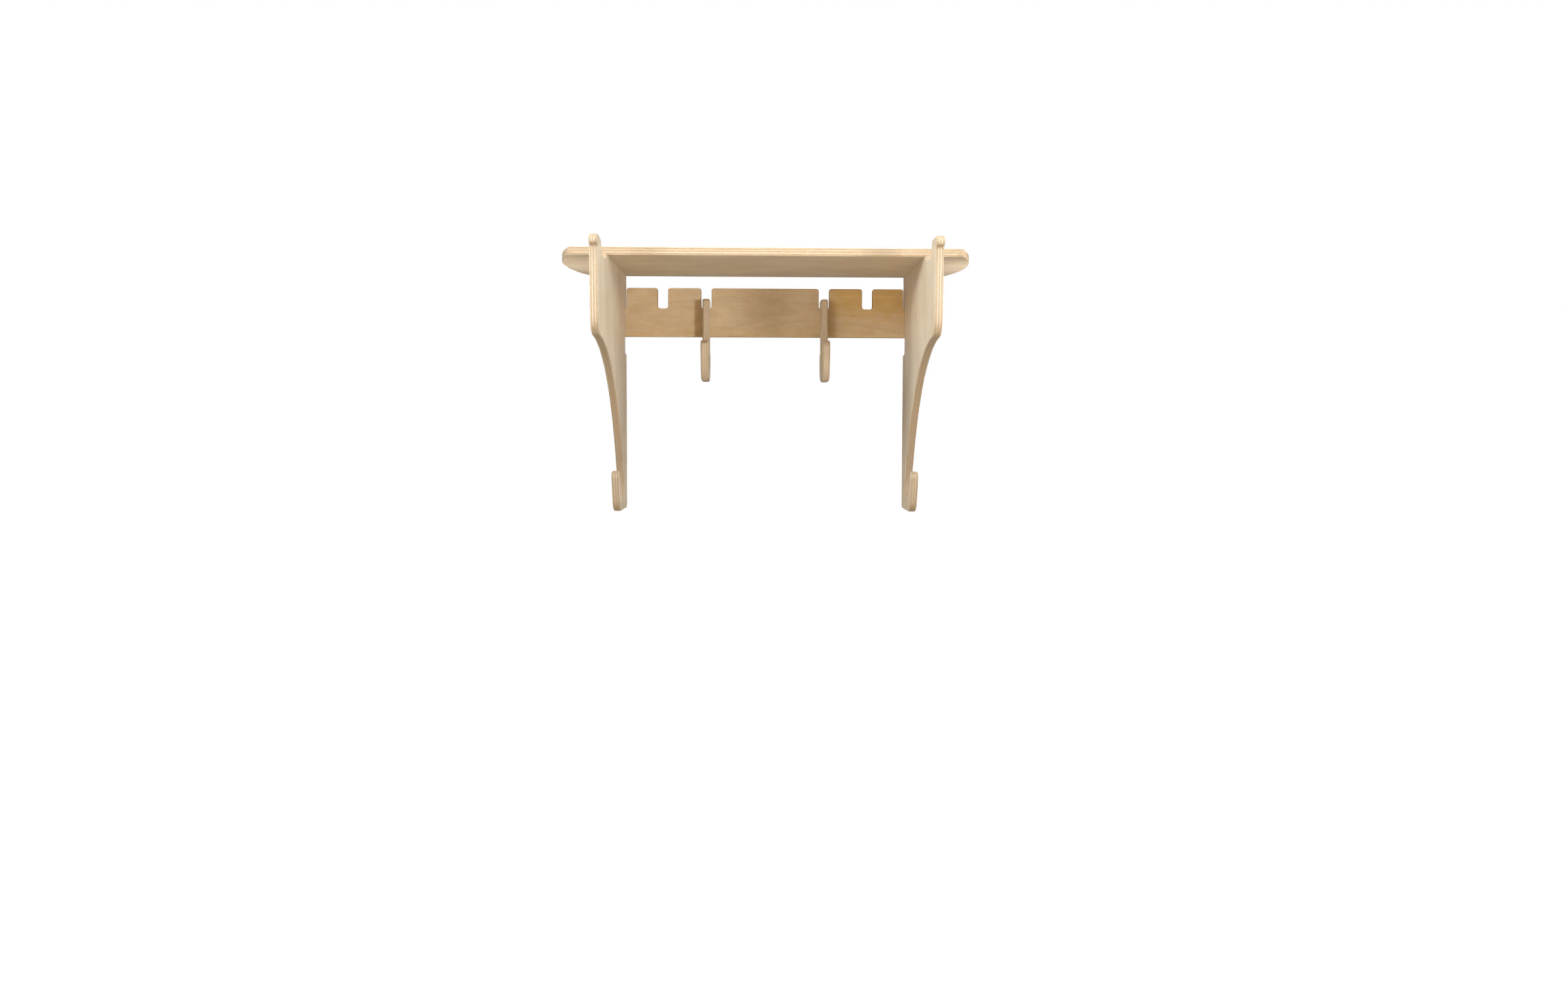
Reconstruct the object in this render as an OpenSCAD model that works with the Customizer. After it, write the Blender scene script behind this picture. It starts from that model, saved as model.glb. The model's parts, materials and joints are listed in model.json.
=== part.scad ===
// Wall rack for one bicycle, cut from 9 mm birch plywood. A notched rail is screwed to the wall.
// Two brackets hang over the rail, carry the top tube in their cradles and hold a shelf above it.
// Two small J hooks hang in the rail's notches. X is to the right, the wall is the plane Y = 0,
// the room is on the side of -Y, and the origin is the middle of the four wall screws.

/* [Plywood] */
// Thickness of every plywood piece
ply_t = 9; // [9:0.5:10]
// Gap between a hung piece and the faces of the rail
seat_gap = 0.3; // [0.2:0.1:0.5]

/* [Rail] */
// Length of the rail
rail_len = 424; // [422:1:440]
// Height of the rail
rail_h = 60; // [58:1:64]
// Width of each notch
notch_w = 12.8; // [12:0.1:14]
// Depth of each notch below the rail's top edge
notch_depth = 25; // [24:1:28]
// Distance between the two notches that hold the small hooks
hook_pitch = 145.6; // [130:0.2:156]
// Distance between the two spare notches, outside the hooks
spare_pitch = 253.2; // [240:0.2:264]
// Width of the block that holds each end of the rail off the wall
spacer_w = 24; // [20:1:26]

/* [Brackets] */
// Distance between the middle planes of the two brackets
bracket_pitch = 355.6; // [350:0.2:360]
// Reach of a bracket from the wall to its nose
bracket_reach = 307; // [304:1:314]
// Bottom of a bracket below the rail's middle
bracket_drop = 243; // [238:1:250]
// Length of the tongue that drops behind the rail
tongue_len = 18; // [14:1:18]
// Radius of the long hollow curve under the bracket
sweep_r = 290; // [280:5:295]
// Gap in the helmet hook at the bottom of a bracket
helmet_gap = 44; // [42:1:48]

/* [Cradle] */
// Diameter of the bicycle's top tube
tube_d = 31.8; // [28:0.2:36]
// Distance of the top tube's middle from the wall
tube_out = 241; // [239:1:244]

/* [Shelf] */
// Depth of the shelf from the wall
shelf_depth = 210; // [200:1:214]
// Width of the shelf along its front and back edges
shelf_edge_w = 432; // [420:1:440]
// Underside of the shelf above the rail's middle
shelf_z = 46; // [44:1:50]
// Radius of the shelf's bowed ends
shelf_end_r = 300; // [240:10:300]
// Length of each tab that joins a bracket to the shelf
tab_len = 40; // [30:1:45]

/* [Small hooks] */
// Reach of a small hook from the wall to the front of its finger
hook_reach = 90; // [84:1:96]
// Bottom of a small hook below the rail's middle
hook_drop = 86; // [84:1:92]
// Width of the hook's stem in front of the rail
hook_stem = 15; // [13:1:17]

/* [Wall screws] */
// Distance between the two pairs of screws, one stud bay
screw_pitch = 406.4; // [406:0.2:408]
// Distance between the upper and the lower screw of a pair
screw_rise = 30; // [26:1:34]
// Diameter of a screw
screw_d = 5; // [4:0.5:5]
// Length of a screw under its head's rim
screw_len = 60; // [50:5:80]
// Diameter of a cup washer
washer_d = 15; // [14:0.5:16]

/* [Hidden] */
$fn = 48;
eps = 0.5;

cutter_r = 3.2;       // inside corners keep the radius of a 1/4 inch cutter
mouth_r = 3;          // softened corners at the mouth of a notch
corner_r = 6;         // outside corners of the plates
tip_r = 6.5;          // rounded finger tips
seat_chamfer = 1.8;   // relief under a hung piece, clear of the rounded bottom of its notch
joint_gap = 0.15;     // play of a shelf tab in its mortise, on each side
tongue_gap = 0.5;     // play between a tongue and the back of the rail
pocket_spare = 2.5;   // spare height in a pocket when the piece is lifted off

rail_back = ply_t;                        // a spacer is one ply sheet thick
rail_front = rail_back + ply_t;
notch_z = rail_h / 2 - notch_depth;       // bottom of the notches
pocket_front = rail_front + seat_gap;     // front wall of the pocket that the rail lies in
pocket_z = -rail_h / 2 - tongue_len - pocket_spare;    // bottom of the pocket, for lifting off
bracket_x = bracket_pitch / 2;
hook_x = hook_pitch / 2;
spare_x = spare_pitch / 2;
notch_xs = [-bracket_x, -spare_x, -hook_x, hook_x, spare_x, bracket_x];

cradle_z = shelf_z - 6.4;                 // bottom of the cradle, where the tube rests
horn_z = shelf_z + 10;                    // top of the horn in front of the tube
front_out = bracket_reach - 7;            // front edge just under the nose
nose_h = 9.5;                             // height of the nose's face
nose_lean = 4.5;                          // how far the face leans back at the top
belly_out = front_out - 4;                // front edge at its lower end
belly_z = -44.6;
sweep_out = 115;                          // where the tangents of the long curve meet
sweep_z = -60.6;
arm_out = 26;                             // arm at the bottom of the helmet hook's gap
hook_floor = 15;                          // wood under the gap of the helmet hook
tab_outs = [60, 150];                     // middles of the two tabs
shelf_end_slope = 19;                     // direction of the bowed end at its corners

stem_out = pocket_front + hook_stem;
finger_t = 14;
spacer_mid = rail_len / 2 - spacer_w / 2;

washer_h = 2.6;
head_sink = 0.4;                          // depth of a screw's head in its washer
head_out = rail_front + washer_h - head_sink;
screw_head_d = 9.6;
screw_head_h = 2.6;
shank_d = 4;
thread_start = head_out + 0.5;            // the smooth shank ends just behind the wall's surface
screw_tip = 8;
point_d = 0.6;

// Unit vector along v
function unit(v) = v / norm(v);

// Points that round the corner b between a and c; each is [u, v, radius]
function corner_points(a, b, c) =
    let (
        p = [b[0], b[1]],
        to_a = unit([a[0], a[1]] - p),
        to_c = unit([c[0], c[1]] - p),
        half = acos(to_a * to_c) / 2,
        middle = p + unit(to_a + to_c) * b[2] / sin(half),
        first = p + to_a * b[2] / tan(half) - middle,
        last = p + to_c * b[2] / tan(half) - middle,
        start = atan2(first[1], first[0]),
        turn = atan2(last[1], last[0]) - start,
        sweep = turn > 180 ? turn - 360 : turn < -180 ? turn + 360 : turn,
        steps = ceil(abs(sweep) / min(8, 2 * acos(1 - 0.02 / b[2])))
    )
    [for (i = [0:steps]) middle + b[2] * [cos(start + sweep * i / steps), sin(start + sweep * i / steps)]];

// Closed outline through corners [u, v, radius]
function rounded(corners) =
    let (n = len(corners))
    [for (i = [0:n - 1])
        each corners[i][2] == 0 ? [[corners[i][0], corners[i][1]]]
            : corner_points(corners[(i + n - 1) % n], corners[i], corners[(i + 1) % n])];

// Back of a piece that hangs over the rail, from its top to below the pocket. Corners are [out, z, radius]
function hanging_back(top, back, top_r) = [
    [back, top, top_r],
    [back, notch_z - tongue_len, 2],
    [rail_back - tongue_gap, notch_z - tongue_len, 3],
    [rail_back - tongue_gap, notch_z, 0],
    [pocket_front, notch_z, 0],
    [pocket_front, pocket_z, cutter_r],
    [back, pocket_z, 2]];

// Upright plate across the wall at x, from corners [out from the wall, z, radius]
module upright_plate(x, corners) {
    translate([x - ply_t / 2, 0, 0])
        rotate([90, 0, 90])
            linear_extrude(height = ply_t)
                polygon(rounded([for (c = corners) [-c[0], c[1], c[2]]]));
}

// Wood taken off the two lower edges of a plate where it rests in the bottom of its notch
module seat_relief(x) {
    for (side = [-1, 1])
        translate([x + side * ply_t / 2, -pocket_front - eps, notch_z])
            rotate([0, 45, 0])
                translate([-seat_chamfer / sqrt(2), 0, -seat_chamfer / sqrt(2)])
                    cube([seat_chamfer * sqrt(2), ply_t + seat_gap + tongue_gap + 2 * eps, seat_chamfer * sqrt(2)]);
}

// Flat plate facing the room, from corners [x, z, radius], with its back at out
module facing_plate(out, corners) {
    translate([0, -out, 0])
        rotate([90, 0, 0])
            linear_extrude(height = ply_t)
                polygon(rounded(corners));
}

// The pair of screw holes at x
module screw_holes(x) {
    for (z = [-screw_rise / 2, screw_rise / 2])
        translate([x, eps, z])
            rotate([90, 0, 0])
                cylinder(h = rail_front + 2 * eps, d = screw_d + 0.3);
}

function notch_corners(x) = [
    [x - notch_w / 2, rail_h / 2, mouth_r],
    [x - notch_w / 2, notch_z, cutter_r],
    [x + notch_w / 2, notch_z, cutter_r],
    [x + notch_w / 2, rail_h / 2, mouth_r]];

// Notched rail that everything hangs from
module rail() {
    color("burlywood")
        difference() {
            facing_plate(rail_back, concat(
                [[-rail_len / 2, -rail_h / 2, corner_r], [-rail_len / 2, rail_h / 2, corner_r]],
                [for (x = notch_xs) each notch_corners(x)],
                [[rail_len / 2, rail_h / 2, corner_r], [rail_len / 2, -rail_h / 2, corner_r]]));
            for (side = [-1, 1])
                screw_holes(side * screw_pitch / 2);
        }
}

// Block between one end of the rail and the wall
module spacer(side) {
    inner = side * (spacer_mid - spacer_w / 2);
    outer = side * (spacer_mid + spacer_w / 2);
    color("tan")
        difference() {
            facing_plate(0, [
                [inner, -rail_h / 2, 1], [inner, rail_h / 2, 1],
                [outer, rail_h / 2, corner_r], [outer, -rail_h / 2, corner_r]]);
            screw_holes(side * screw_pitch / 2);
        }
}

// Two tabs on the top edge of a bracket, as corners from the front to the back
function tab_corners() = [for (mid = [tab_outs[1], tab_outs[0]]) each [
    [mid + tab_len / 2, shelf_z, 0],
    [mid + tab_len / 2, shelf_z + ply_t, 1],
    [mid - tab_len / 2, shelf_z + ply_t, 1],
    [mid - tab_len / 2, shelf_z, 0]]];

// Front of a bracket from the helmet hook up to the shelf
function bracket_front() = [
    [0, -bracket_drop, corner_r],
    [arm_out + helmet_gap + 14, -bracket_drop, 20],
    [arm_out + helmet_gap + 33, -bracket_drop + 47, tip_r],
    [arm_out + helmet_gap + 17, -bracket_drop + 50, tip_r],
    [arm_out + helmet_gap, -bracket_drop + hook_floor, 12],
    [arm_out, -bracket_drop + hook_floor, 14],
    [sweep_out, sweep_z, sweep_r],
    [belly_out, belly_z, 22],
    [front_out, horn_z - nose_h - 2, 3],
    [bracket_reach + 1.7, horn_z - nose_h, 4],
    [bracket_reach + 1.7 - nose_lean, horn_z, 6],
    [tube_out + tube_d / 2 + 14, horn_z, 9],
    [tube_out + tube_d / 2 + 6, cradle_z, 14],
    [tube_out - tube_d / 2 - 1, cradle_z, 12],
    [tube_out - tube_d / 2 - 6, shelf_z, 3]];

// Bracket that carries the bicycle and the shelf
module bracket(side) {
    color("wheat")
        difference() {
            upright_plate(side * bracket_x,
                concat(bracket_front(), tab_corners(), hanging_back(shelf_z, 0, 0)));
            seat_relief(side * bracket_x);
        }
}

// Shelf with bowed ends and four mortises for the brackets' tabs
module shelf() {
    edge_x = shelf_edge_w / 2;
    tip_x = edge_x + tan(shelf_end_slope) * shelf_depth / 2;
    color("navajowhite")
        translate([0, 0, shelf_z])
            difference() {
                linear_extrude(height = ply_t)
                    polygon(rounded([
                        [-edge_x, 0, corner_r],
                        [edge_x, 0, corner_r],
                        [tip_x, -shelf_depth / 2, shelf_end_r],
                        [edge_x, -shelf_depth, corner_r],
                        [-edge_x, -shelf_depth, corner_r],
                        [-tip_x, -shelf_depth / 2, shelf_end_r]]));
                for (side = [-1, 1], out = tab_outs)
                    translate([side * bracket_x, -out, ply_t / 2])
                        cube([ply_t + 2 * joint_gap, tab_len + 2 * joint_gap, ply_t + 2 * eps], center = true);
            }
}

// Front of a small hook from its foot on the wall up to its top
function hook_front() = [
    [0.5, -hook_drop, 30],
    [hook_reach - finger_t, -hook_drop, 24],
    [hook_reach, -hook_drop + 47, tip_r],
    [hook_reach - finger_t, -hook_drop + 49, tip_r],
    [hook_reach - 2 * finger_t, -hook_drop + finger_t, 11],
    [stem_out, -hook_drop + finger_t, 13],
    [stem_out, notch_z + 11, 4]];

// J hook that hangs in a notch
module hook(side) {
    color("wheat")
        difference() {
            upright_plate(side * hook_x, concat(hook_front(), hanging_back(notch_z + 11, 0.5, 4)));
            seat_relief(side * hook_x);
        }
}

// Countersunk wood screw at x and z, its thread behind the wall's surface
module screw(x, z) {
    color("silver")
        translate([x, -head_out, z])
            rotate([-90, 0, 0]) {
                cylinder(h = screw_head_h, d1 = screw_head_d, d2 = shank_d);
                cylinder(h = thread_start, d = shank_d);
                translate([0, 0, thread_start])
                    cylinder(h = screw_len - screw_tip - thread_start, d = screw_d);
                translate([0, 0, screw_len - screw_tip])
                    cylinder(h = screw_tip, d1 = screw_d, d2 = point_d);
            }
}

// Cup washer under a screw's head
module washer(x, z) {
    cone_top = washer_h - head_sink - 0.05;
    color("silver")
        translate([x, -rail_front, z])
            rotate([90, 0, 0])
                difference() {
                    union() {
                        cylinder(h = 0.8, d = washer_d);
                        cylinder(h = washer_h, d1 = washer_d - 1, d2 = screw_head_d + 1);
                    }
                    translate([0, 0, -eps])
                        cylinder(h = washer_h + 2 * eps, d = screw_d + 0.3);
                    translate([0, 0, cone_top - screw_head_h])
                        cylinder(h = screw_head_h, d1 = shank_d + 0.1, d2 = screw_head_d + 0.1);
                    translate([0, 0, cone_top])
                        cylinder(h = 1, d = screw_head_d + 0.1);
                }
}

rail();
spacer(-1);  // left_spacer
spacer(1);  // right_spacer
bracket(-1);  // left_bracket
bracket(1);  // right_bracket
shelf();
hook(-1);  // left_hook
hook(1);  // right_hook
screw(-screw_pitch / 2, screw_rise / 2);  // screw_left_top
screw(-screw_pitch / 2, -screw_rise / 2);  // screw_left_bottom
screw(screw_pitch / 2, screw_rise / 2);  // screw_right_top
screw(screw_pitch / 2, -screw_rise / 2);  // screw_right_bottom
washer(-screw_pitch / 2, screw_rise / 2);  // washer_left_top
washer(-screw_pitch / 2, -screw_rise / 2);  // washer_left_bottom
washer(screw_pitch / 2, screw_rise / 2);  // washer_right_top
washer(screw_pitch / 2, -screw_rise / 2);  // washer_right_bottom
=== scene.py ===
"""Looks of the plywood bicycle wall rack, in metres, in the CAD model's frame."""

import json
import math

import bmesh
import bpy
import numpy as np
from mathutils import Matrix, Vector
from mathutils.geometry import tessellate_polygon


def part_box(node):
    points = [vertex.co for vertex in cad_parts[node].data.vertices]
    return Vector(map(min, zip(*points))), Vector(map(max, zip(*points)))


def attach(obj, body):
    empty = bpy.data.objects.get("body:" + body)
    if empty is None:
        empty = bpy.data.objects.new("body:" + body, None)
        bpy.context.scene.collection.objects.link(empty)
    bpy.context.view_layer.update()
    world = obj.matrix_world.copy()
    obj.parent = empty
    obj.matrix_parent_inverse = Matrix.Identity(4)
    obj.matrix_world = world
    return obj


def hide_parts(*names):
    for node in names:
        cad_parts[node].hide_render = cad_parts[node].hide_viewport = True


MM = 0.001
FACE_T = 0.95  # thickness of a face veneer, mm
CORE_T = 1.42  # thickness of each of the five inner plies, mm
SHELF_Z = 46.0  # underside of the shelf, mm
SHELF_OUT = 210.0  # front edge of the shelf, mm from the wall
SHARP = 0.45  # turn in an outline, in radians, from which it is shaded as a sharp corner

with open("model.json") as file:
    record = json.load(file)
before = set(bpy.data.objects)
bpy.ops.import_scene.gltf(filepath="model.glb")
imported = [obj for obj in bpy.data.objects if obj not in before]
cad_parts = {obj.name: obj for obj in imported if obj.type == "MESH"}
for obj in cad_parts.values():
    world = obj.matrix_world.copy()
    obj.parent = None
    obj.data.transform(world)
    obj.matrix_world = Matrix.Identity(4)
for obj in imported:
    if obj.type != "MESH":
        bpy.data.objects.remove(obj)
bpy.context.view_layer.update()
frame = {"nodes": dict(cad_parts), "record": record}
body_of_node = {n: b for b, nodes in frame["record"]["behaviour"]["bodies"].items() for n in nodes}


def srgb(r, g, b):
    """A colour given as 0-255 values on screen, as linear RGBA."""
    linear = [(v / 255 / 12.92) if v <= 10 else ((v / 255 + 0.055) / 1.055) ** 2.4 for v in (r, g, b)]
    return (*linear, 1.0)


# ---------------------------------------------------------------- shader graphs


class Graph:
    """Short names for building a node tree."""

    def __init__(self, tree):
        self.tree = tree
        tree.nodes.clear()

    def put(self, socket, value):
        if isinstance(value, bpy.types.NodeSocket):
            self.tree.links.new(value, socket)
        else:
            socket.default_value = value

    def node(self, kind, inputs=(), **settings):
        n = self.tree.nodes.new(kind)
        for key, value in settings.items():
            setattr(n, key, value)
        for key, value in dict(inputs).items():
            self.put(n.inputs[key], value)
        return n

    def math(self, op, *values, clamp=False):
        return self.node("ShaderNodeMath", enumerate(values), operation=op, use_clamp=clamp).outputs[0]

    def add(self, a, b):
        return self.math("ADD", a, b)

    def sub(self, a, b):
        return self.math("SUBTRACT", a, b)

    def mul(self, a, b):
        return self.math("MULTIPLY", a, b)

    def step(self, value, low, high, out_low=0.0, out_high=1.0):
        """Smooth step of value from low to high."""
        n = self.node(
            "ShaderNodeMapRange",
            {"Value": value, "From Min": low, "From Max": high, "To Min": out_low, "To Max": out_high},
            interpolation_type="SMOOTHSTEP",
        )
        return n.outputs["Result"]

    def lerp(self, factor, a, b):
        return self.node("ShaderNodeMix", {0: factor, 2: a, 3: b}).outputs[0]

    def tint(self, factor, a, b, blend="MIX"):
        n = self.node("ShaderNodeMix", {0: factor, 6: a, 7: b}, data_type="RGBA", blend_type=blend)
        return n.outputs[2]

    def vector(self, x, y, z):
        return self.node("ShaderNodeCombineXYZ", {0: x, 1: y, 2: z}).outputs[0]

    def noise(self, vector, scale=1.0, detail=2.0, roughness=0.5, distortion=0.0):
        inputs = {"Vector": vector, "Scale": scale, "Detail": detail}
        inputs.update({"Roughness": roughness, "Distortion": distortion})
        return self.node("ShaderNodeTexNoise", inputs).outputs["Fac"]


def ply_group():
    """Birch plywood as a solid: seven plies, each with its own fibre direction.

    Place and normal come in the sheet's own axes: through the sheet, along and across the face grain.
    Warmth and Depth tone the whole sheet, and End Grain is how far its cut edges differ from its faces. On
    the rail, Warmth also carries painted warm light and painted shade.
    """
    tree = bpy.data.node_groups.new("birch_plywood", "ShaderNodeTree")
    face = tree.interface
    for name, kind in (
        ("Place", "NodeSocketVector"),
        ("Normal", "NodeSocketVector"),
        ("Seed", "NodeSocketFloat"),
        ("Warmth", "NodeSocketFloat"),
        ("Depth", "NodeSocketFloat"),
        ("End Grain", "NodeSocketFloat"),
    ):
        face.new_socket(name, in_out="INPUT", socket_type=kind)
    for name, kind in (
        ("Color", "NodeSocketColor"),
        ("Roughness", "NodeSocketFloat"),
        ("Height", "NodeSocketFloat"),
    ):
        face.new_socket(name, in_out="OUTPUT", socket_type=kind)
    g = Graph(tree)
    given = g.node("NodeGroupInput").outputs
    seed = given["Seed"]
    place = g.node("ShaderNodeSeparateXYZ", {0: given["Place"]}).outputs
    normal = g.node("ShaderNodeSeparateXYZ", {0: given["Normal"]}).outputs
    through, along, across = place

    # which ply this is, with boundaries that wander a little
    wander = g.noise(g.vector(g.mul(along, 0.012), g.mul(across, 0.012), seed), 1.0, 3.0)
    level = g.add(through, g.mul(g.sub(wander, 0.5), 0.55))
    ply = g.math("ADD", g.math("DIVIDE", g.sub(level, FACE_T), CORE_T), 1.0)
    index = g.math("FLOOR", g.math("MINIMUM", g.math("MAXIMUM", ply, 0.02), 6.98))
    cross = g.math("MODULO", index, 2.0)
    inside = g.math("FRACT", ply)
    seam = g.mul(g.math("MINIMUM", inside, g.sub(1.0, inside)), CORE_T)

    # axes of the ply's own fibres
    fibre = g.lerp(cross, along, across)
    side = g.lerp(cross, across, along)
    shift = g.add(seed, g.mul(index, 17.3))
    fibre_n = g.lerp(cross, normal[1], normal[2])
    end = g.step(g.math("ABSOLUTE", fibre_n), 0.32, 0.86)
    flat = g.step(g.math("ABSOLUTE", normal[0]), 0.72, 0.97)

    def solid(side_scale, through_scale, fibre_scale, offset, **noise):
        v = g.vector(
            g.add(g.mul(side, side_scale), g.add(shift, offset)),
            g.mul(through, through_scale),
            g.mul(fibre, fibre_scale),
        )
        return g.noise(v, 1.0, **noise)

    streak = solid(0.42, 0.55, 0.012, 3.0, detail=4.0, roughness=0.62)
    fine = solid(2.6, 2.6, 0.06, 11.0, detail=3.0, roughness=0.6)
    vessel = solid(5.2, 5.2, 0.16, 23.0, detail=1.0)
    cloud = g.noise(g.vector(g.mul(across, 0.021), g.mul(along, 0.011), shift), 1.0, 3.0, 0.55)
    mottle = g.noise(g.vector(g.mul(across, 0.16), g.mul(along, 0.05), g.add(shift, 5.0)), 1.0, 2.0, 0.5, 0.6)
    speck = g.noise(g.vector(g.mul(across, 0.9), g.mul(along, 0.22), g.add(shift, 47.0)), 1.0, 3.0, 0.6)
    # contours of the growth rings on a peeled veneer
    peel = g.vector(g.mul(across, 0.0105), g.mul(along, 0.0021), g.add(shift, 31.0))
    swell = g.noise(peel, 1.0, 2.0, 0.5, 0.35)
    ring = g.math("FRACT", g.mul(swell, 13.0))
    ring = g.mul(g.step(ring, 0.0, 0.78), g.step(ring, 1.0, 0.86))

    # long grain, as on the faces and on every second ply of an edge
    face_fade = g.lerp(flat, 1.0, 0.5)
    light = g.tint(g.mul(g.step(streak, 0.3, 0.72), face_fade), srgb(232, 217, 192), srgb(217, 199, 170))
    light = g.tint(g.mul(g.step(cloud, 0.35, 0.7), 0.55), light, srgb(213, 191, 158))
    light = g.tint(g.mul(g.mul(ring, flat), 0.34), light, srgb(204, 180, 146))
    light = g.tint(g.mul(g.step(mottle, 0.42, 0.68), 0.2), light, srgb(243, 232, 212))
    light = g.tint(g.mul(g.step(speck, 0.5, 0.72), 0.26), light, srgb(203, 181, 150))
    light = g.tint(g.mul(g.step(fine, 0.5, 0.75), 0.3), light, srgb(206, 184, 151))
    light = g.tint(g.mul(g.step(vessel, 0.62, 0.72), 0.4), light, srgb(184, 157, 122))

    # end grain, darker and porous
    dark = g.tint(g.step(streak, 0.34, 0.64), srgb(205, 178, 142), srgb(183, 152, 115))
    dark = g.tint(g.mul(g.step(fine, 0.42, 0.7), 0.26), dark, srgb(176, 143, 107))
    dark = g.tint(g.mul(g.step(vessel, 0.55, 0.68), 0.3), dark, srgb(150, 116, 82))
    wood = g.tint(g.mul(end, given["End Grain"]), light, dark)

    # each ply has its own depth of colour
    own = g.node("ShaderNodeTexWhiteNoise", {"W": shift}, noise_dimensions="1D").outputs["Value"]
    wood = g.tint(g.mul(g.step(own, 0.2, 1.0), 0.16), wood, srgb(176, 140, 96))

    # pith flecks: short brown marks, rare
    cell = g.node(
        "ShaderNodeTexVoronoi",
        {"Vector": g.vector(g.mul(side, 0.11), g.mul(fibre, 0.028), shift), "Scale": 1.0},
        feature="F1",
    )
    rare = g.step(g.node("ShaderNodeSeparateXYZ", {0: cell.outputs["Color"]}).outputs[0], 0.86, 0.9)
    fleck = g.mul(g.mul(rare, g.step(cell.outputs["Distance"], 0.085, 0.03)), flat)
    wood = g.tint(g.mul(fleck, 0.5), wood, srgb(142, 98, 58))

    # cut edges are a shade deeper; glue lines, and a few voids where an inner ply has a gap, each void
    # painted dark brown as the shade inside its gap
    rim = g.sub(1.0, flat)
    wood = g.tint(g.mul(g.mul(rim, given["End Grain"]), 0.32), wood, srgb(186, 156, 118))
    glue = g.mul(g.step(seam, 0.11, 0.03), rim)
    wood = g.tint(g.mul(glue, 0.6), wood, srgb(132, 92, 56))
    run = g.add(g.mul(g.add(along, across), 0.04), shift)
    gap = g.noise(g.vector(run, g.mul(through, 0.5), seed), 1.0, 1.0)
    inner = g.mul(g.step(index, 0.5, 0.6), g.step(index, 5.5, 5.4))
    # painted shade: dark brown inside the voids of the inner plies, standing for the shade in the gap
    void_shade = g.mul(g.mul(g.step(gap, 0.79, 0.82), inner), g.mul(rim, g.step(seam, 0.12, 0.3)))
    wood = g.tint(g.mul(void_shade, 0.8), wood, srgb(108, 76, 48))

    # tone of the sheet; on the rail this also lays on painted warm light and painted shade
    wood = g.tint(given["Warmth"], wood, (0.94, 0.70, 0.30, 1.0), "MULTIPLY")
    wood = g.tint(given["Depth"], wood, srgb(120, 92, 60))

    rough = g.lerp(end, g.step(cloud, 0.3, 0.7, 0.4, 0.5), 0.66)
    rough = g.add(rough, g.mul(g.sub(fine, 0.5), 0.18))
    height = g.add(g.mul(streak, 0.02), g.mul(fine, g.lerp(end, 0.018, 0.05)))
    height = g.sub(height, g.mul(g.step(vessel, 0.58, 0.72), g.lerp(end, 0.02, 0.06)))
    height = g.sub(height, g.add(g.mul(glue, 0.02), g.mul(void_shade, 0.5)))
    out = g.node("NodeGroupOutput", {"Color": wood, "Roughness": rough, "Height": height})
    out.is_active_output = True
    return tree


def ply_material(name, group, axis, grain, start, seed, warmth, depth, end):
    """Plywood of one plate: thickness along axis, face grain along grain, lower face at start, in mm."""
    mat = bpy.data.materials.new(name)
    mat.use_nodes = True
    g = Graph(mat.node_tree)
    cross_axis = 3 - axis - grain
    coords = g.node("ShaderNodeTexCoord").outputs
    at = g.node("ShaderNodeSeparateXYZ", {0: coords["Object"]}).outputs
    facing = g.node("ShaderNodeSeparateXYZ", {0: coords["Normal"]}).outputs
    mm = [g.mul(v, 1000.0) for v in at]
    ply = g.node("ShaderNodeGroup", node_tree=group)
    g.put(ply.inputs["Place"], g.vector(g.sub(mm[axis], start), mm[grain], mm[cross_axis]))
    g.put(ply.inputs["Normal"], g.vector(facing[axis], facing[grain], facing[cross_axis]))
    g.put(ply.inputs["Seed"], seed)
    g.put(ply.inputs["Warmth"], warmth(g, mm) if callable(warmth) else warmth)
    g.put(ply.inputs["Depth"], depth)
    g.put(ply.inputs["End Grain"], end)
    bump = g.node("ShaderNodeBump", {"Strength": 1.0, "Distance": MM, "Height": ply.outputs["Height"]})
    shader = g.node(
        "ShaderNodeBsdfPrincipled",
        {
            "Base Color": ply.outputs["Color"],
            "Roughness": ply.outputs["Roughness"],
            "Normal": bump.outputs["Normal"],
            "IOR": 1.48,
            "Coat Weight": 0.08,
            "Coat Roughness": 0.32,
        },
    )
    g.node("ShaderNodeOutputMaterial", {"Surface": shader.outputs[0]})
    return mat


def metal_material(name, colour, other, roughness, turned):
    """Plated steel with a cloudy plating and, on turned pieces, fine lines round the axis Y."""
    mat = bpy.data.materials.new(name)
    mat.use_nodes = True
    g = Graph(mat.node_tree)
    coords = g.node("ShaderNodeTexCoord").outputs
    at = g.node("ShaderNodeSeparateXYZ", {0: coords["Object"]}).outputs
    x, y, z = [g.mul(v, 1000.0) for v in at]
    radius = g.math("SQRT", g.add(g.mul(x, x), g.mul(z, z)))
    cloud = g.noise(g.vector(x, y, z), 0.45, 3.0)
    lines = g.noise(g.vector(g.mul(radius, turned), g.mul(y, turned), 0.0), 1.0, 2.0)
    grit = g.noise(g.vector(x, y, z), 9.0, 2.0)
    height = g.add(g.mul(lines, 0.006), g.mul(grit, 0.003))
    bump = g.node("ShaderNodeBump", {"Strength": 1.0, "Distance": MM, "Height": height})
    rough = g.add(g.add(roughness - 0.08, g.mul(cloud, 0.12)), g.mul(lines, 0.06))
    shader = g.node(
        "ShaderNodeBsdfPrincipled",
        {
            "Base Color": g.tint(g.step(cloud, 0.35, 0.65), colour, other),
            "Metallic": 1.0,
            "Roughness": rough,
            "Normal": bump.outputs["Normal"],
        },
    )
    g.node("ShaderNodeOutputMaterial", {"Surface": shader.outputs[0]})
    return mat


# ---------------------------------------------------------------- plywood plates


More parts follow.
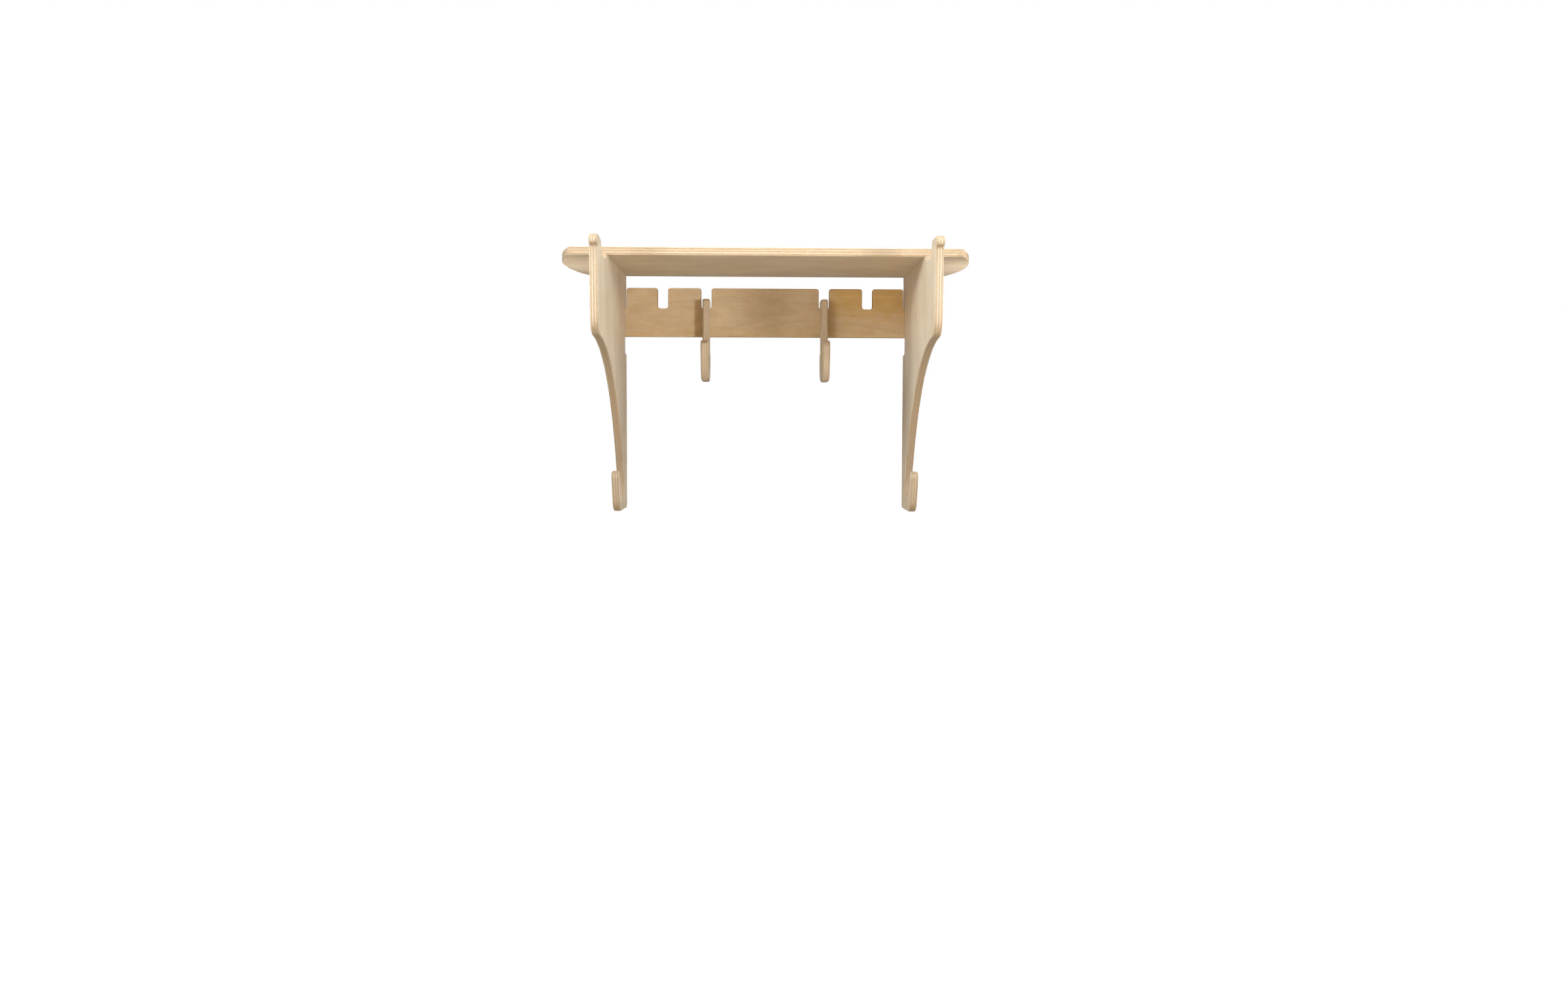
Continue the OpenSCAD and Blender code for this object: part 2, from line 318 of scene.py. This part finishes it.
def middle_outlines(node, axis):
    """Outlines of a plate cut through the middle of its thickness, in mm, with the wood on the left."""
    low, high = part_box(node)
    bm = bmesh.new()
    bm.from_mesh(frame["nodes"][node].data)
    bmesh.ops.remove_doubles(bm, verts=bm.verts, dist=1e-6)
    cut = bmesh.ops.bisect_plane(
        bm,
        geom=bm.verts[:] + bm.edges[:] + bm.faces[:],
        plane_co=(low + high) / 2,
        plane_no=[float(i == axis) for i in range(3)],
    )["geom_cut"]
    edges = {e for e in cut if isinstance(e, bmesh.types.BMEdge)}
    loops = []
    while edges:
        first = edges.pop()
        start, vert = first.verts
        points = [start, vert]
        while vert != start:
            step = next(e for e in vert.link_edges if e in edges)
            edges.remove(step)
            vert = step.other_vert(vert)
            points.append(vert)
        loops.append([(p.co[(axis + 1) % 3] / MM, p.co[(axis + 2) % 3] / MM) for p in points[:-1]])
    bm.free()

    def area(p):
        a = np.array(p)
        b = np.roll(a, -1, 0)
        return float((a[:, 0] * b[:, 1] - a[:, 1] * b[:, 0]).sum()) / 2

    # where a walk starts changes from run to run, so each loop is made to start at the point that sorts first
    loops = [p if area(p) > 0 else p[::-1] for p in loops]
    starts = [p.index(min(p)) for p in loops]
    loops = [p[k:] + p[:k] for p, k in zip(loops, starts)]
    loops.sort(key=lambda p: (-round(area(p), 3), p[0]))
    return [loops[0]] + [p[::-1] for p in loops[1:]]


def tidy_loop(points, longest=6.0):
    """Drops points on straight lines, then divides long sides."""
    p = [np.array(q) for q in points]
    kept = []
    for i, q in enumerate(p):
        a, b = q - p[i - 1], p[(i + 1) % len(p)] - q
        na, nb = np.linalg.norm(a), np.linalg.norm(b)
        if na < 1e-4:
            continue
        if abs(a[0] * b[1] - a[1] * b[0]) > 0.003 * na * nb or a @ b < 0:
            kept.append(q)
    out = []
    for i, q in enumerate(kept):
        nxt = kept[(i + 1) % len(kept)]
        n = max(1, math.ceil(np.linalg.norm(nxt - q) / longest))
        out += [q + (nxt - q) * k / n for k in range(n)]
    return np.array(out)


def edge_radii(p, soft):
    """Radius of the softened edge at each point: as asked, but less than a small outer corner's own."""
    n = len(p)
    ahead = np.roll(p, -1, 0) - p
    length = np.linalg.norm(ahead, axis=1)
    d = ahead / length[:, None]
    back = np.roll(d, 1, 0)
    turn = np.arctan2(back[:, 0] * d[:, 1] - back[:, 1] * d[:, 0], (back * d).sum(1))
    radii = np.array([soft(*q) for q in p])
    for i in range(n):
        j = (i + 1) % n
        if turn[i] > 0.02 and turn[j] > 0.02 and length[i] < 5:
            own = length[i] / (2 * math.sin((turn[i] + turn[j]) / 4))
            radii[i] = min(radii[i], 0.85 * own)
            radii[j] = min(radii[j], 0.85 * own)
    return radii, d, back, turn


def plate(name, node, axis, soft, steps=4):
    """A plate with softened edges, built on the outline of its CAD node."""
    low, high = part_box(node)
    start, thick = low[axis] / MM, (high[axis] - low[axis]) / MM
    angles = [math.pi / 2 * (1 - k / steps) for k in range(steps + 1)]
    rings = [(a, -1) for a in angles] + [(a, 1) for a in angles[::-1]]
    verts, faces, normals, caps = [], [], [], []
    for points in middle_outlines(node, axis):
        p = tidy_loop(points)
        radii, d, back, turn = edge_radii(p, soft)
        n, base = len(p), len(verts)
        right = np.stack([d[:, 1], -d[:, 0]], 1)
        right_back = np.stack([back[:, 1], -back[:, 0]], 1)
        out = right + right_back
        out /= np.linalg.norm(out, axis=1)[:, None]
        reach = 1 / np.clip((out * right).sum(1), 0.6, 1)
        for a, s in rings:
            q = p - out * (radii * (1 - math.cos(a)) * reach)[:, None]
            t = radii * (1 - math.sin(a))
            t = t if s < 0 else thick - t
            for k in range(n):
                v = [0.0] * 3
                v[axis], v[(axis + 1) % 3], v[(axis + 2) % 3] = start + t[k], q[k, 0], q[k, 1]
                verts.append([c * MM for c in v])

        def normal(k, flat_side, a, s):
            m = flat_side if abs(turn[k]) > SHARP else out[k]
            v = [0.0] * 3
            v[axis] = s * math.sin(a)
            v[(axis + 1) % 3] = m[0] * math.cos(a)
            v[(axis + 2) % 3] = m[1] * math.cos(a)
            return v

        for r in range(len(rings) - 1):
            (a0, s0), (a1, s1) = rings[r], rings[r + 1]
            for i in range(n):
                j = (i + 1) % n
                this, following = base + r * n, base + (r + 1) * n
                faces.append([this + i, this + j, following + j, following + i])
                corners = ((i, a0, s0), (j, a0, s0), (j, a1, s1), (i, a1, s1))
                normals += [normal(k, right[i], a, s) for k, a, s in corners]
        caps.append((base, n))
    for r, s in ((0, -1), (len(rings) - 1, 1)):
        loops = [[base + r * n + i for i in range(n)] for base, n in caps]
        flat = [i for loop in loops for i in loop]
        u, w = (axis + 1) % 3, (axis + 2) % 3
        polys = [[Vector((verts[i][u], verts[i][w], 0)) / MM for i in loop] for loop in loops]
        for tri in tessellate_polygon(polys):
            a, b, c = [flat[i] for i in tri]
            ab = [verts[b][q] - verts[a][q] for q in (u, w)]
            ac = [verts[c][q] - verts[a][q] for q in (u, w)]
            turn_way = ab[0] * ac[1] - ab[1] * ac[0]
            if abs(turn_way) < 1e-13:
                continue
            faces.append([a, b, c] if turn_way * s > 0 else [a, c, b])
            v = [0.0] * 3
            v[axis] = float(s)
            normals += [v, v, v]
    mesh = bpy.data.meshes.new(name)
    mesh.from_pydata(verts, [], faces)
    mesh.polygons.foreach_set("use_smooth", [True] * len(faces))
    mesh.normals_split_custom_set(normals)
    mesh.update()
    obj = bpy.data.objects.new(name, mesh)
    bpy.context.scene.collection.objects.link(obj)
    return obj


def place(obj, node, slot):
    """obj stands for its CAD node and rides on the node's body."""
    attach(obj, body_of_node[node])
    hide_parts(node)


def bracket_soft(y, z):
    """Crisp where the shelf lies on a bracket and on the tabs, softened everywhere else."""
    return 0.2 if z > SHELF_Z - 0.1 and -y < SHELF_OUT else 1.6


def shelf_soft(x, y):
    """Crisp at the mortises, softened round the outside."""
    return 0.25 if 160 < abs(x) < 195 and 30 < -y < 180 else 1.6


def rail_warmth(g, mm):
    """Tints the rail a blotchy tan, warmer than the other plates, with painted warm light as an orange patch
    in its upper right part and painted shade, warmer and darker, towards its bottom.
    """
    wave = g.noise(g.vector(g.mul(mm[0], 0.02), g.mul(mm[2], 0.03), 4.0), 1.0, 3.0)
    # painted warm light: more orange in the upper right part of the rail
    warm_light_patch = g.mul(g.step(mm[0], 66.0, 96.0), g.step(mm[2], -22.0, 16.0))
    # painted shade: warmer and darker towards the rail's bottom
    low_shade = g.step(mm[2], -8.0, -30.0)
    spots = g.noise(g.vector(g.mul(mm[0], 0.11), g.mul(mm[2], 0.16), 9.0), 1.0, 3.0, 0.6)
    blotch = g.step(spots, 0.35, 0.65, -0.07, 0.09)
    return g.add(g.add(g.add(0.25, g.mul(wave, 0.22)), blotch), g.add(g.mul(warm_light_patch, 0.5), g.mul(low_shade, 0.12)))


X, Y, Z = 0, 1, 2
plywood = ply_group()
for node, axis, grain, soft, seed, warmth, depth, end in (
    ("rail", Y, X, lambda u, v: 1.0, 41.0, rail_warmth, 0.08, 1.0),
    ("left_spacer", Y, Z, lambda u, v: 0.6, 52.0, 0.06, 0.0, 1.0),
    ("right_spacer", Y, Z, lambda u, v: 0.6, 63.0, 0.06, 0.0, 1.0),
    ("left_bracket", X, Z, bracket_soft, 7.0, 0.0, 0.0, 0.85),
    ("right_bracket", X, Z, bracket_soft, 19.0, 0.0, 0.0, 0.85),
    ("shelf", Z, X, shelf_soft, 28.0, 0.06, 0.0, 1.0),
    ("left_hook", X, Z, lambda u, v: 2.2, 84.0, 0.07, 0.02, 0.4),
    ("right_hook", X, Z, lambda u, v: 2.2, 95.0, 0.07, 0.0, 0.35),
):
    slot = "birch_ply_rail" if node == "rail" else "birch_ply"
    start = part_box(node)[0][axis] / MM
    piece = plate(node + "_sheet", node, axis, soft)
    birch = ply_material(node + "_birch", plywood, axis, grain, start, seed, warmth, depth, end)
    piece.data.materials.append(birch)
    place(piece, node, slot)


# ---------------------------------------------------------------- screws and washers


def lathe(profile, segments=64):
    """Mesh turned about the axis Y from (radius, y) points in mm. A point of radius 0 closes an end."""
    bm = bmesh.new()
    rows = []
    for r, y in profile:
        if r == 0:
            rows.append([bm.verts.new((0, y * MM, 0))])
            continue
        ring = [2 * math.pi * k / segments for k in range(segments)]
        rows.append([bm.verts.new((r * math.cos(a) * MM, y * MM, r * math.sin(a) * MM)) for a in ring])
    for a, b in zip(rows, rows[1:]):
        for k in range(segments):
            quad = [a[k % len(a)], a[(k + 1) % len(a)], b[(k + 1) % len(b)], b[k % len(b)]]
            bm.faces.new(list(dict.fromkeys(quad)))
    bmesh.ops.recalc_face_normals(bm, faces=bm.faces)
    return bm


def object_from(bm, name):
    mesh = bpy.data.meshes.new(name)
    bm.to_mesh(mesh)
    bm.free()
    obj = bpy.data.objects.new(name, mesh)
    bpy.context.scene.collection.objects.link(obj)
    return obj


def smooth_by_angle(mesh, degrees=35):
    mesh.polygons.foreach_set("use_smooth", [True] * len(mesh.polygons))
    bm = bmesh.new()
    bm.from_mesh(mesh)
    for e in bm.edges:
        e.smooth = len(e.link_faces) == 2 and e.calc_face_angle(0) < math.radians(degrees)
    bm.to_mesh(mesh)
    bm.free()


HEAD_R, SHANK_R, ROOT_R, CREST_R = 4.8, 1.95, 1.6, 2.5
SCREW_LEN, TIP_LEN, PITCH, THREAD_FROM = 60.0, 8.0, 2.3, 20.7


def screw_head():
    """Countersunk head with a cross recess, its top at y = 0."""
    top = [(0, 0), (4.45, 0), (4.68, 0.06), (HEAD_R, 0.24), (HEAD_R - 0.02, 0.34)]
    below = [(SHANK_R + 0.6, 2.3), (SHANK_R, 2.9), (SHANK_R, 4.0), (0, 4.0)]
    head = object_from(lathe(top + below), "head")
    # arms of the recess: length and half width at the head's top and at the bottom, and depth
    long, wide, low_long, low_wide, deep = 2.35, 0.55, 1.05, 0.38, 1.75
    bm = bmesh.new()

    def cross(arm, half, y):
        ring = []
        for k in range(4):
            c, s = math.cos(k * math.pi / 2), math.sin(k * math.pi / 2)
            for x, z in ((arm, -half), (arm, half), (half, half)):
                ring.append(bm.verts.new(((c * x - s * z) * MM, y * MM, (s * x + c * z) * MM)))
        return ring

    rows = [cross(long + 0.2, wide + 0.03, -0.3), cross(low_long, low_wide, deep)]
    tip = bm.verts.new((0, (deep + 0.45) * MM, 0))
    n = len(rows[0])
    for k in range(n):
        j = (k + 1) % n
        bm.faces.new([rows[0][k], rows[0][j], rows[1][j], rows[1][k]])
        bm.faces.new([rows[1][k], rows[1][j], tip])
    bm.faces.new(rows[0])
    bmesh.ops.recalc_face_normals(bm, faces=bm.faces)
    cutter = object_from(bm, "cutter")
    change = head.modifiers.new("recess", "BOOLEAN")
    change.operation, change.object, change.solver = "DIFFERENCE", cutter, "EXACT"
    bpy.context.view_layer.update()
    mesh = bpy.data.meshes.new_from_object(head.evaluated_get(bpy.context.evaluated_depsgraph_get()))
    for o in (head, cutter):
        bpy.data.objects.remove(o)
    return mesh


def screw_mesh():
    """Wood screw: head, smooth shank, thread and point, with the head's top at y = 0."""
    bm = bmesh.new()
    head = screw_head()
    bm.from_mesh(head)
    neck = [(SHANK_R, 3.9), (SHANK_R, THREAD_FROM)]
    shank = lathe(neck + [(ROOT_R, THREAD_FROM + 1.0), (ROOT_R, THREAD_FROM + 2)], 32)
    part = bpy.data.meshes.new("part")
    shank.to_mesh(part)
    shank.free()
    bm.from_mesh(part)
    # the thread is one strip that winds round the core; across it lie the root, the flanks and the crest
    across = [(0.0, 0.0), (0.3, 0.0), (0.62, 0.94), (0.68, 1.0), (0.72, 1.0), (0.78, 0.94), (1.0, 0.0)]
    per_turn, end = 28, SCREW_LEN - 0.15
    turns = (end - THREAD_FROM) / PITCH
    rows = []
    for k in range(int(turns * per_turn) + 1):
        a = 2 * math.pi * k / per_turn
        row = []
        for share, rise in across:
            y = min(THREAD_FROM + PITCH * (k / per_turn - 1 + share), end)
            taper = min(1.0, max(0.0, (SCREW_LEN - y) / TIP_LEN))
            run_in = min(1.0, max(0.0, (y - THREAD_FROM) / 2.0))
            root = max(0.12, ROOT_R * taper**0.8)
            crest = root + (CREST_R - ROOT_R) * min(1.0, taper * 1.15) * run_in
            r = min(root + (crest - root) * rise, max(0.3, 0.3 + (CREST_R - 0.3) * taper))
            row.append(bm.verts.new((r * math.cos(a) * MM, y * MM, r * math.sin(a) * MM)))
        rows.append(row)
    for p, q in zip(rows, rows[1:]):
        for k in range(len(across) - 1):
            bm.faces.new([p[k], p[k + 1], q[k + 1], q[k]])
    point = bm.verts.new((0, (SCREW_LEN - 0.02) * MM, 0))
    last = [r[-1] for r in rows[-per_turn - 1 :]]
    for p, q in zip(last, last[1:]):
        bm.faces.new([p, q, point])
    bmesh.ops.remove_doubles(bm, verts=bm.verts, dist=2e-6)
    bmesh.ops.dissolve_degenerate(bm, dist=1e-7, edges=bm.edges)
    bmesh.ops.recalc_face_normals(bm, faces=bm.faces)
    mesh = bpy.data.meshes.new("wood_screw")
    bm.to_mesh(mesh)
    bm.free()
    smooth_by_angle(mesh, 38)
    return mesh


def washer_mesh():
    """Turned cup washer with its flat back at y = 0 and its cup towards -Y."""
    flange = [(2.65, 0.0), (7.2, 0.0), (7.5, -0.12), (7.5, -0.42), (7.32, -0.66), (7.0, -0.8)]
    wall = [(6.55, -0.95), (5.95, -1.45), (5.55, -2.05), (5.35, -2.42)]
    rim = [(5.18, -2.56), (5.0, -2.6), (4.9, -2.56), (4.86, -2.42), (4.86, -2.1)]
    seat = [(2.75, -0.28), (2.65, -0.1), (2.65, 0.0)]
    bm = lathe(flange + wall + rim + seat, 96)
    bmesh.ops.remove_doubles(bm, verts=bm.verts, dist=1e-6)
    bmesh.ops.recalc_face_normals(bm, faces=bm.faces)
    mesh = bpy.data.meshes.new("cup_washer")
    bm.to_mesh(mesh)
    bm.free()
    smooth_by_angle(mesh, 40)
    return mesh


zinc = metal_material("yellow_zinc", srgb(214, 196, 140), srgb(198, 190, 168), 0.34, 6.0)
nickel = metal_material("nickel_plate", srgb(214, 210, 201), srgb(200, 196, 188), 0.26, 11.0)
screw_shape, washer_shape = screw_mesh(), washer_mesh()
screw_shape.materials.append(zinc)
washer_shape.materials.append(nickel)
for k, side in enumerate(("left", "right")):
    for j, level in enumerate(("top", "bottom")):
        for kind, shape, slot in (
            ("screw", screw_shape, "zinc_steel"),
            ("washer", washer_shape, "nickel_steel"),
        ):
            node = f"{kind}_{side}_{level}"
            low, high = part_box(node)
            middle = (low + high) / 2
            obj = bpy.data.objects.new(f"{node}_turned", shape)
            bpy.context.scene.collection.objects.link(obj)
            obj.location = (middle.x, low.y if kind == "screw" else high.y, middle.z)
            obj.rotation_euler = (0, math.radians(23 + 71 * k + 37 * j), 0)
            place(obj, node, slot)


# ---------------------------------------------------------------- floor, light and camera

scene = bpy.context.scene
scene.view_settings.view_transform = "Standard"
floor_mesh = bpy.data.meshes.new("floor")
half = 30
corners = [(-half, -half, 0), (half, -half, 0), (half, half, 0), (-half, half, 0)]
floor_mesh.from_pydata(corners, [], [(0, 1, 2, 3)])
floor = bpy.data.objects.new("floor", floor_mesh)
floor.location.z = -1.1
scene.collection.objects.link(floor)
pale = bpy.data.materials.new("pale_floor")
pale.use_nodes = True
finish = pale.node_tree.nodes["Principled BSDF"].inputs
finish["Base Color"].default_value = (0.35, 0.35, 0.35, 1)
finish["Roughness"].default_value = 0.9
finish["Specular IOR Level"].default_value = 0.0
finish["Emission Color"].default_value = (1, 1, 1, 1)
finish["Emission Strength"].default_value = 0.92
floor_mesh.materials.append(pale)
floor.visible_diffuse = floor.visible_glossy = False

world = bpy.data.worlds.new("studio")
world.use_nodes = True
g = Graph(world.node_tree)
way = g.node("ShaderNodeSeparateXYZ", {0: g.node("ShaderNodeTexCoord").outputs["Generated"]}).outputs
front = g.add(g.step(way[2], -0.5, -0.2, 0.22, 0.12), g.step(way[2], 0.2, 0.5, 0.0, 0.18))
back = g.step(way[2], 0.2, 0.5, 0.26, 0.3)
ambient = g.lerp(g.step(way[1], -0.2, 0.2), front, back)
room = g.node("ShaderNodeBackground", {"Color": (1.0, 0.94, 0.85, 1), "Strength": ambient})
backdrop = g.node("ShaderNodeBackground", {"Color": (1, 1, 1, 1), "Strength": 1.0})
seen = g.node("ShaderNodeLightPath").outputs["Is Camera Ray"]
sky = g.node("ShaderNodeMixShader", {0: seen, 1: room.outputs[0], 2: backdrop.outputs[0]})
g.node("ShaderNodeOutputWorld", {"Surface": sky.outputs[0]})
scene.world = world


def softbox(name, place, aim, width, height, power, colour=(1, 1, 1), spread=180, glossy=True):
    """Area light at place, turned towards aim. A small spread keeps the light in a narrow beam."""
    data = bpy.data.lights.new(name, "AREA")
    data.shape, data.size, data.size_y = "RECTANGLE", width, height
    data.energy, data.color, data.spread = power, colour, math.radians(spread)
    obj = bpy.data.objects.new(name, data)
    scene.collection.objects.link(obj)
    obj.location = place
    obj.rotation_euler = (Vector(aim) - Vector(place)).to_track_quat("-Z", "Y").to_euler()
    obj.visible_glossy = glossy


WARM, COOL = (1.0, 0.89, 0.74), (0.82, 0.91, 1.0)
softbox("ceiling", (0, -1.0, 1.25), (0, -0.1, 0), 1.6, 0.6, 1.2, COOL)
softbox("near_ceiling", (0, -0.75, 0.9), (0, -0.15, 0), 1.2, 0.3, 6.6, COOL)
softbox("top", (0, -0.1, 1.6), (0, -0.1, 0), 0.9, 0.7, 1.2, spread=60)
softbox("floor_bounce", (0, -0.9, -0.95), (0, -0.1, -0.05), 0.8, 0.4, 3.9, WARM)
softbox("back_fill", (0, 1.3, 0.9), (0, 0, 0), 1.4, 0.8, 12, glossy=False)
for side, name, beam, lamp, end in ((-1, "left", 0.58, 0.24, 0.034), (1, "right", 0.36, 0.42, 0.044)):
    softbox(f"{name}_window", (1.5 * side, -0.75, 0.0), (0, -0.1, -0.02), 0.5, 0.9, 1.0)
    softbox(f"{name}_side", (1.6 * side, -0.15, 0.1), (0, -0.15, 0), 0.5, 0.5, 5.0)
    softbox(f"{name}_high_window", (1.2 * side, -0.9, 0.6), (0, -0.1, -0.02), 0.5, 0.6, 1.0)
    # aims: the other bracket's inside, the small hook and the shelf's end
    across, hook = (-0.177 * side, -0.23, -0.02), (-0.08 * side, -0.02, 0.02)
    tip = (0.25 * side, -0.12, 0.046)
    softbox(f"{name}_beam", (1.15 * side, -0.95, 0.32), across, 0.25, 0.25, beam, COOL, 32)
    softbox(f"{name}_lamp", (0.9 * side, -1.35, -0.08), hook, 0.22, 0.22, lamp, spread=36)
    softbox(f"{name}_end", (0.75 * side, -0.5, -0.8), tip, 0.1, 0.1, end, spread=9)

camera = bpy.data.objects.new("camera", bpy.data.cameras.new("camera"))
scene.collection.objects.link(camera)
scene.camera = camera
camera.data.sensor_width = 36
camera.data.lens = 30.413
camera.data.clip_end = 100
yaw, pitch, roll = math.radians(1.2), math.radians(3.4), math.radians(0.2)
ahead = Vector((math.sin(yaw) * math.cos(pitch), math.cos(yaw) * math.cos(pitch), -math.sin(pitch)))
right = Vector((math.cos(yaw), -math.sin(yaw), 0))
up = right.cross(ahead)
right, up = right * math.cos(roll) + up * math.sin(roll), up * math.cos(roll) - right * math.sin(roll)
turned = Matrix((right, up, -ahead)).transposed().to_4x4()
camera.matrix_world = Matrix.Translation((-0.0105, -1.672, -0.1385)) @ turned
